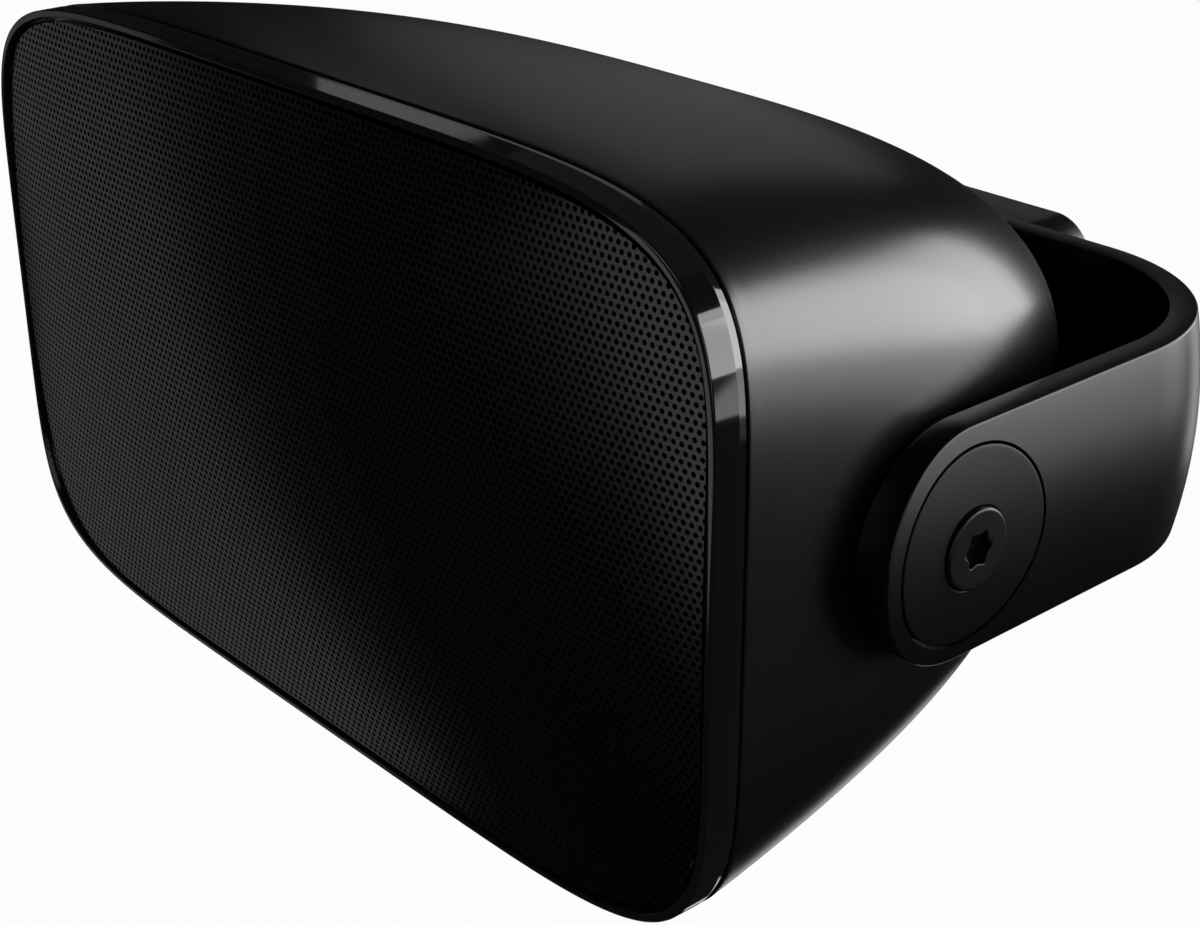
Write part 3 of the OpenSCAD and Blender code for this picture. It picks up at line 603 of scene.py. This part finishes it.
def make_pivots():
    """Turned from profiles of radius, x and kind.

    The x of a crowned point counts from the strap's outer face, and the radius of a lobed
    point from the six-lobe outline of the screw's socket.
    """
    head_x = ARM_X + STRAP_CROWN + 0.8
    seat_x = head_x - 4.5
    seat_gap, bore_r, shank_gap = 0.06, HEAD_R + 0.25, 0.08
    fillet = rolled_edge(0.5, 90, 0)
    disc = [(SCREW_R + shank_gap, BOSS_X, PLAIN), (DISC_BORE_R, BOSS_X, PLAIN),
            (DISC_BORE_R, ARM_IN + DISC_SEAT, PLAIN), (DISC_R, ARM_IN + DISC_SEAT, PLAIN)]
    disc += [(DISC_R - 0.5 * i, -0.5 * d, CROWNED) for i, d in fillet]
    disc += [(r, 0.0, CROWNED)
             for r in (21.1, 20, 17.5, 15, 12.5, 10.5, bore_r + 0.35, bore_r + 0.2)]
    disc += [(bore_r + 0.06, -0.06, CROWNED), (bore_r, -0.2, CROWNED),
             (bore_r, seat_x - seat_gap, PLAIN), (SCREW_R + shank_gap, seat_x - seat_gap, PLAIN)]
    screw = [(0.0, head_x - SCREW_LEN, PLAIN), (SCREW_R, head_x - SCREW_LEN, PLAIN),
             (SCREW_R, seat_x, PLAIN), (HEAD_R - 0.2, seat_x, PLAIN), (HEAD_R, seat_x + 0.2, PLAIN)]
    screw += [(HEAD_R - 1.2 * i, head_x - 1.2 * d, PLAIN) for i, d in fillet]
    screw += [(r, head_x, PLAIN) for r in (8.2, 7.0, 5.6)]
    screw += [(r, head_x - drop, LOBED)
              for r, drop in ((0.35, 0), (0.2, 0), (0.05, 0.06), (0.0, 0.2), (-0.05, 2.8),
                              (-1.6, 3.1))]
    screw += [(0.0, head_x - 3.2, PLAIN)]
    t = np.linspace(0, 2 * np.pi, 240, endpoint=False)
    lobes = 3.72 + 0.46 * np.cos(6 * t) + 0.06 * np.cos(12 * t)
    for side, end in ((-1, "left"), (1, "right")):
        for name, profile, mat in (("clamp_disc_", disc, disc_mat),
                                   ("pivot_screw_", screw, screw_mat)):
            rings = []
            for r, x, kind in profile:
                radius = lobes + r if kind == LOBED else np.full_like(t, r)
                y, z = PIVOT_Y + side * radius * np.cos(t), radius * np.sin(t)
                rings.append(ring(side * (ARM_X + crown(z) + x if kind == CROWNED else x), y, z))
            pts, faces = loft(rings, caps=False, loop=mat is disc_mat)
            body = "bracket" if mat is disc_mat else "cabinet"
            o = add_mesh(name + end + "_turned", pts, faces, mat, body)
            tidy(o)
            shade(o.data, 32)
            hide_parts(name + end)


make_cabinet()
make_bezel()
make_grille()
make_strap()
make_pad()
make_pivots()

# Materials of the nodes that the CAD meshes show
METALS = ("brushed_steel", "brass", "aluminium", "chrome")
FINISHES = {"gloss": 0.15, "satin": 0.35, "matte": 0.6}
by_slot = {
    "bracket_paint": bracket_mat, "screw_black": screw_mat, "rubber": rubber_mat,
    "cloth": cloth_mat,
}
slots = {s["node"]: s["material_slot"] for s in frame["record"]["subparts"]}
classes = {m["slot"]: m for m in frame["record"]["materials"]}
for name, o in frame["nodes"].items():
    key = slots[name]
    if key not in by_slot:
        c = classes[key]
        metal = 1.0 if c["class"] in METALS else 0.0
        rough = FINISHES.get(c["finish"], 0.5)
        by_slot[key] = material("cad_" + key, c["base_color"][:3], rough, 0.1, 900, vary=0.04,
                                metallic=metal)
    o.data.materials.clear()
    o.data.materials.append(by_slot[key])

# Camera at the photograph's viewing angle
cam_data = bpy.data.cameras.new("camera")
cam_data.sensor_width = 36
cam_data.lens = 65.05
cam_data.shift_x = 0.019
cam_data.shift_y = -0.0008
cam_data.clip_start = 0.01
cam = new_object("camera", cam_data)
cam.matrix_world = Matrix((  # columns: right, up, backward, place
    (0.65367272, -0.31293582, 0.6890451, 0.3880),
    (0.75674206, 0.27908324, -0.59114635, -0.4361),
    (-0.00731008, 0.90784565, 0.41924079, 0.2010),
    (0, 0, 0, 1),
))
bpy.context.scene.camera = cam

# Studio: softboxes, dark flags as round any black product, and a pale floor
CENTRE = Vector((0.0, -0.1, 0.0))
LAMP_DISTANCE = 1.6
FLOOR_Z, FLOOR_HALF = -1.3, 9
DOME_RADIUS, DOME_GLOW = 2.6, 0.009
OPENING_RADIUS = 0.16


def hidden(o, **flags):
    """Keeps an object out of the camera's view, and out of the other rays named in flags."""
    o.visible_camera = False
    for key, value in flags.items():
        setattr(o, "visible_" + key, value)


def unit_vector(a, e):
    """Unit vector at azimuth a, from +X towards +Y, and elevation e, in radians."""
    return Vector((math.cos(e) * math.cos(a), math.cos(e) * math.sin(a), math.sin(e)))


def toward(azimuth, elevation):
    return unit_vector(math.radians(azimuth), math.radians(elevation))


def softbox(name, azimuth, elevation, width, height, radiance, roll=0.0):
    """A rectangular lamp facing the object, with its place, size and roll in degrees."""
    size = [2 * LAMP_DISTANCE * math.tan(math.radians(v / 2)) for v in (width, height)]
    data = bpy.data.lights.new(name, "AREA")
    data.shape = "RECTANGLE"
    data.size, data.size_y = size
    data.energy = radiance * math.pi * size[0] * size[1]
    o = new_object(name, data)
    z = toward(azimuth, elevation)
    o.location = CENTRE + z * LAMP_DISTANCE
    x = Vector((0, 0, 1)).cross(z).normalized()
    y = z.cross(x)
    turn = Matrix.Rotation(math.radians(roll), 3, z)
    o.rotation_euler = Matrix((turn @ x, turn @ y, z)).transposed().to_euler()
    hidden(o)


def math_node(nt, operation, first, second):
    """A maths node on an output and another output or a number."""
    node = nt.nodes.new("ShaderNodeMath")
    node.operation = operation
    nt.links.new(first, node.inputs[0])
    if isinstance(second, float):
        node.inputs[1].default_value = second
    else:
        nt.links.new(second, node.inputs[1])
    return node.outputs[0]


def emission(nt, strength):
    node = nt.nodes.new("ShaderNodeEmission")
    node.inputs["Color"].default_value = (1, 1, 1, 1)
    node.inputs["Strength"].default_value = strength
    return node.outputs[0]


def seen_white(nt, shader, share=1.0):
    """Mixes white of strength 1 over a shader for camera, glossy and transmission rays."""
    ray = nt.nodes.new("ShaderNodeLightPath").outputs
    seen = math_node(nt, "MAXIMUM", ray["Is Camera Ray"], ray["Is Glossy Ray"])
    seen = math_node(nt, "MAXIMUM", seen, ray["Is Transmission Ray"])
    mix = nt.nodes.new("ShaderNodeMixShader")
    nt.links.new(math_node(nt, "MULTIPLY", seen, share), mix.inputs["Fac"])
    nt.links.new(shader, mix.inputs[1])
    nt.links.new(emission(nt, 1.0), mix.inputs[2])
    return mix.outputs[0]


def make_floor():
    mat = bpy.data.materials.new("pale_floor")
    mat.use_nodes = True
    nt = mat.node_tree
    paint = nt.nodes["Principled BSDF"]
    paint.inputs["Base Color"].default_value = (0.9, 0.9, 0.9, 1)
    paint.inputs["Roughness"].default_value = 0.8
    paint.inputs["Specular IOR Level"].default_value = 0.0
    white = seen_white(nt, paint.outputs[0], 0.96)
    nt.links.new(white, nt.nodes["Material Output"].inputs["Surface"])
    me = bpy.data.meshes.new("floor")
    corners = ((-1, -1), (1, -1), (1, 1), (-1, 1))
    me.from_pydata([(x * FLOOR_HALF, y * FLOOR_HALF, FLOOR_Z) for x, y in corners], [],
                   [(0, 1, 2, 3)])
    floor = new_object("floor", me)
    me.materials.append(mat)


def make_flags():
    """Dark grey flags all round, cut off above the floor, with one opening that shows it."""
    mat = bpy.data.materials.new("dark_flag")
    mat.use_nodes = True
    nt = mat.node_tree
    nt.links.new(emission(nt, DOME_GLOW), nt.nodes["Material Output"].inputs["Surface"])
    opening = toward(110.5, -47.0)
    low = FLOOR_Z + 0.02 - CENTRE.z
    nu, nv = 240, 120
    rays, faces = [], []
    for j in range(nv + 1):
        for i in range(nu):
            rays.append(unit_vector(2 * math.pi * i / nu, -math.pi / 2 + math.pi * j / nv))
    for j in range(nv):
        for i in range(nu):
            i2 = (i + 1) % nu
            quad = (j * nu + i, j * nu + i2, (j + 1) * nu + i2, (j + 1) * nu + i)
            mid = Vector(np.mean([rays[k] for k in quad], axis=0))
            if (mid - opening).length > OPENING_RADIUS:
                faces.append(quad)
    points = []
    for ray in rays:
        v = ray * DOME_RADIUS
        if v.z < low:
            v = v * (low / v.z)
        points.append(tuple(CENTRE + v))
    me = bpy.data.meshes.new("flags")
    me.from_pydata(points, [], faces)
    flags = new_object("flags", me)
    me.materials.append(mat)
    hidden(flags, diffuse=False, shadow=False)


make_floor()
make_flags()

# Name, azimuth, elevation, width, height, radiance and roll
for lamp in (
    ("softbox_rear_right", 58.8, 9.9, 69.0, 33.3, 3.12, -6.8),
    ("softbox_rear_right_core", 55.4, 2.0, 37.0, 37.6, 1.31, -5.0),
    ("fill_top", 111.6, 49.9, 65.7, 63.3, 0.02, -15.1),
    ("fill_rear", 91.0, -16.0, 14.0, 16.0, 1.2),
    ("fill_rear_right_low", 52.0, -15.0, 20.0, 10.0, 0.15),
    ("strip_rear_left", 130.0, 10.1, 27.1, 18.8, 0.14, -45.1),
    ("patch_rear_left", 145.5, 19.0, 6.0, 5.0, 0.24),
    ("softbox_left", 201.9, -19.1, 19.5, 49.2, 0.18, -7.5),
    ("softbox_front_left", 244.8, -14.6, 30.5, 10.0, 0.46, -47.3),
    ("strip_front", 255.8, 13.3, 22.2, 6.9, 1.5, 14.6),
    ("softbox_right", 336.0, 11.5, 26.5, 40.8, 0.8, -28.8),
):
    softbox(*lamp)

world = bpy.data.worlds.new("studio")
bpy.context.scene.world = world
world.use_nodes = True
wt = world.node_tree
bg = wt.nodes["Background"]
bg.inputs["Color"].default_value = (0.4, 0.4, 0.4, 1)
wt.links.new(seen_white(wt, bg.outputs["Background"]), wt.nodes["World Output"].inputs["Surface"])

bpy.context.scene.view_settings.view_transform = "Standard"
